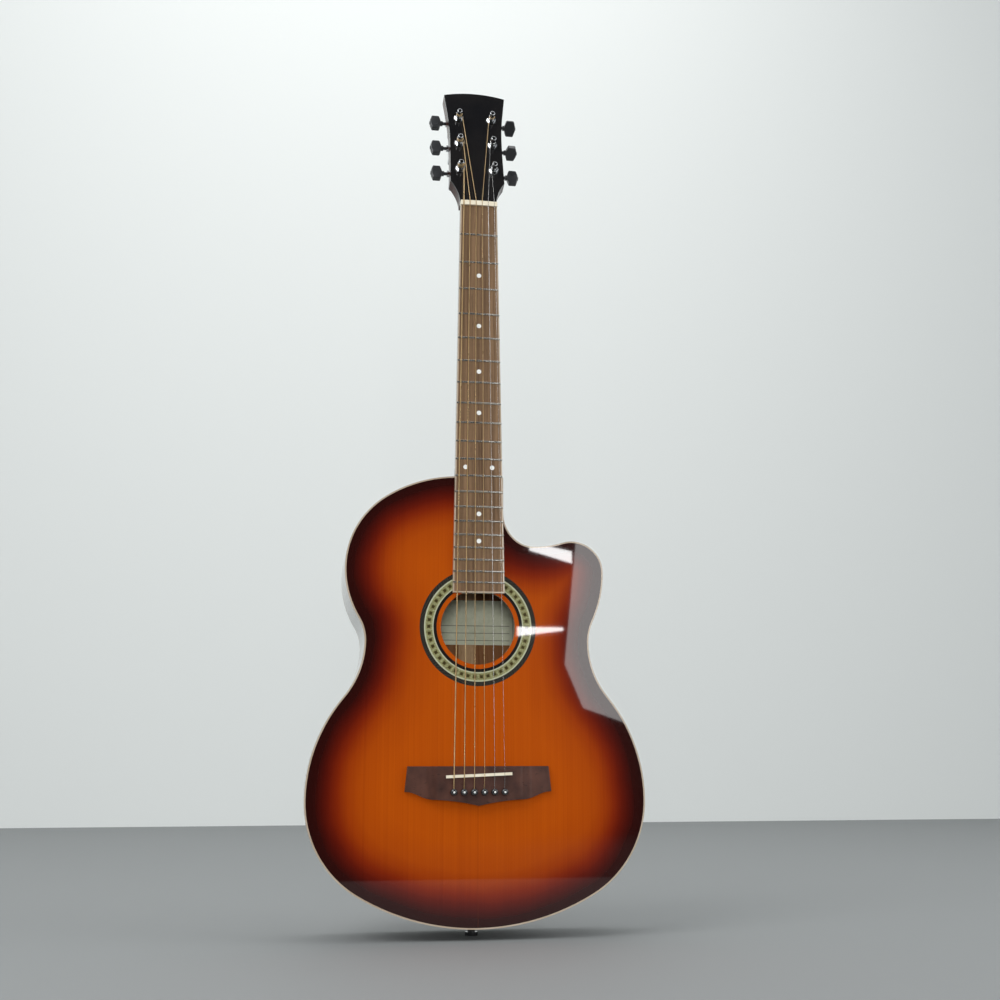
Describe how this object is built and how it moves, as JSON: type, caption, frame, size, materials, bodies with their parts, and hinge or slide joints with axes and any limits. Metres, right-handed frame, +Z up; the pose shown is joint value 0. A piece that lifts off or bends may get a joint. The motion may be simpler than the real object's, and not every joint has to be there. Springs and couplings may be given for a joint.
{
  "type": "acoustic guitar",
  "caption": "Steel-string cutaway acoustic guitar with a domed back, sunburst top, pinned bridge and geared tuners, upright on its end pin.",
  "frame": {"origin": "under the end pin, on the centre line, halfway between the strings' highest line and the back", "axes": "+Z up the neck, -Y out of the soundboard, +X towards the treble strings and the cutaway"},
  "size_m": [0.367, 0.1192, 0.9891],
  "materials": {
    "soundboard_wood": "gloss sunburst lacquer over fine straight grain",
    "body_wood": "gloss dark red-brown lacquer",
    "neck_wood": "satin dark stain",
    "head_face": "gloss black veneer",
    "rosewood": "oiled open-pored rosewood",
    "inside_wood": "bare planed spruce",
    "binding_plastic": "polished cream",
    "rosette_inlay": "polished mosaic of small tiles between black and pale lines",
    "paper": "plain paper",
    "bone": "polished bone",
    "fret_wire": "polished nickel silver",
    "pearl_dots": "white pearl",
    "tuner_chrome": "chrome",
    "steel": "bright steel",
    "button_black": "black moulded",
    "pin_black": "gloss black moulded",
    "string_bronze": "bronze winding",
    "string_steel": "plain drawn steel",
    "ball_brass": "turned brass"
  },
  "bodies": {
    "root": {"soundboard": "soundboard_wood", "back_plate": "body_wood", "bass_side": "body_wood", "treble_side": "body_wood", "top_binding": "binding_plastic", "back_binding": "binding_plastic", "top_lining": "inside_wood", "back_lining": "inside_wood", "neck_block": "inside_wood", "tail_block": "inside_wood", "x_braces": "inside_wood", "transverse_brace": "inside_wood", "tone_bars": "inside_wood", "finger_braces": "inside_wood", "bridge_plate": "inside_wood", "back_braces": "inside_wood", "back_centre_strip": "inside_wood", "label": "paper", "rosette": "rosette_inlay", "bridge": "rosewood", "saddle": "bone", "neck": "neck_wood", "heel_cap": "head_face", "head_plate": "head_face", "fretboard": "rosewood", "fretboard_binding": "binding_plastic", "frets": "fret_wire", "position_dots": "pearl_dots", "side_dots": "pearl_dots", "nut": "bone", "truss_rod": "steel", "tuner_housings": "tuner_chrome", "tuner_bushings": "tuner_chrome", "tuner_washers": "tuner_chrome", "tuner_screws": "tuner_chrome", "end_pin": "pin_black", "wound_strings": "string_bronze", "plain_strings": "string_steel", "ball_ends": "ball_brass"},
    "truss_rod_nut": {"truss_rod_nut": "steel"},
    "tuner_key_1": {"tuner_key_1": "button_black"},
    "tuner_post_1": {"tuner_post_1": "tuner_chrome"},
    "bridge_pin_1": {"bridge_pin_1": "pin_black"},
    "tuner_key_2": {"tuner_key_2": "button_black"},
    "tuner_post_2": {"tuner_post_2": "tuner_chrome"},
    "bridge_pin_2": {"bridge_pin_2": "pin_black"},
    "tuner_key_3": {"tuner_key_3": "button_black"},
    "tuner_post_3": {"tuner_post_3": "tuner_chrome"},
    "bridge_pin_3": {"bridge_pin_3": "pin_black"},
    "tuner_key_4": {"tuner_key_4": "button_black"},
    "tuner_post_4": {"tuner_post_4": "tuner_chrome"},
    "bridge_pin_4": {"bridge_pin_4": "pin_black"},
    "tuner_key_5": {"tuner_key_5": "button_black"},
    "tuner_post_5": {"tuner_post_5": "tuner_chrome"},
    "bridge_pin_5": {"bridge_pin_5": "pin_black"},
    "tuner_key_6": {"tuner_key_6": "button_black"},
    "tuner_post_6": {"tuner_post_6": "tuner_chrome"},
    "bridge_pin_6": {"bridge_pin_6": "pin_black"}
  },
  "joints": [
    {"name": "truss_rod_turn", "type": "hinge", "parent": "root", "child": "truss_rod_nut", "pos_m": [0, -0.03698, 0.4225], "axis": [0, 0, 1], "range_deg": [-180, 180]},
    {"name": "key_1_turn", "type": "hinge", "parent": "root", "child": "tuner_key_1", "pos_m": [-0.02, -0.01385, 0.8786], "axis": [-1, 0, 0], "continuous": true},
    {"name": "post_1_turn", "type": "hinge", "parent": "root", "child": "tuner_post_1", "pos_m": [-0.02, -0.01554, 0.87129], "axis": [0, -0.9744, 0.225], "continuous": true},
    {"name": "pin_1_pull", "type": "slide", "parent": "root", "child": "bridge_pin_1", "axis": [0, -1, 0], "range_m": [0, 0.028]},
    {"name": "key_2_turn", "type": "hinge", "parent": "root", "child": "tuner_key_2", "pos_m": [-0.02, -0.00517, 0.91621], "axis": [-1, 0, 0], "continuous": true},
    {"name": "post_2_turn", "type": "hinge", "parent": "root", "child": "tuner_post_2", "pos_m": [-0.02, -0.00686, 0.9089], "axis": [0, -0.9744, 0.225], "continuous": true},
    {"name": "pin_2_pull", "type": "slide", "parent": "root", "child": "bridge_pin_2", "axis": [0, -1, 0], "range_m": [0, 0.028]},
    {"name": "key_3_turn", "type": "hinge", "parent": "root", "child": "tuner_key_3", "pos_m": [-0.02, 0.00351, 0.95382], "axis": [-1, 0, 0], "continuous": true},
    {"name": "post_3_turn", "type": "hinge", "parent": "root", "child": "tuner_post_3", "pos_m": [-0.02, 0.00182, 0.94651], "axis": [0, -0.9744, 0.225], "continuous": true},
    {"name": "pin_3_pull", "type": "slide", "parent": "root", "child": "bridge_pin_3", "axis": [0, -1, 0], "range_m": [0, 0.028]},
    {"name": "key_4_turn", "type": "hinge", "parent": "root", "child": "tuner_key_4", "pos_m": [0.02, 0.00351, 0.95382], "axis": [1, 0, 0], "continuous": true},
    {"name": "post_4_turn", "type": "hinge", "parent": "root", "child": "tuner_post_4", "pos_m": [0.02, 0.00182, 0.94651], "axis": [0, -0.9744, 0.225], "continuous": true},
    {"name": "pin_4_pull", "type": "slide", "parent": "root", "child": "bridge_pin_4", "axis": [0, -1, 0], "range_m": [0, 0.028]},
    {"name": "key_5_turn", "type": "hinge", "parent": "root", "child": "tuner_key_5", "pos_m": [0.02, -0.00517, 0.91621], "axis": [1, 0, 0], "continuous": true},
    {"name": "post_5_turn", "type": "hinge", "parent": "root", "child": "tuner_post_5", "pos_m": [0.02, -0.00686, 0.9089], "axis": [0, -0.9744, 0.225], "continuous": true},
    {"name": "pin_5_pull", "type": "slide", "parent": "root", "child": "bridge_pin_5", "axis": [0, -1, 0], "range_m": [0, 0.028]},
    {"name": "key_6_turn", "type": "hinge", "parent": "root", "child": "tuner_key_6", "pos_m": [0.02, -0.01385, 0.8786], "axis": [1, 0, 0], "continuous": true},
    {"name": "post_6_turn", "type": "hinge", "parent": "root", "child": "tuner_post_6", "pos_m": [0.02, -0.01554, 0.87129], "axis": [0, -0.9744, 0.225], "continuous": true},
    {"name": "pin_6_pull", "type": "slide", "parent": "root", "child": "bridge_pin_6", "axis": [0, -1, 0], "range_m": [0, 0.028]}
  ],
  "couplings": [
    {"joint": "post_1_turn", "follows": "key_1_turn", "ratio": -0.071429},
    {"joint": "post_2_turn", "follows": "key_2_turn", "ratio": -0.071429},
    {"joint": "post_3_turn", "follows": "key_3_turn", "ratio": -0.071429},
    {"joint": "post_4_turn", "follows": "key_4_turn", "ratio": 0.071429},
    {"joint": "post_5_turn", "follows": "key_5_turn", "ratio": 0.071429},
    {"joint": "post_6_turn", "follows": "key_6_turn", "ratio": 0.071429}
  ]
}
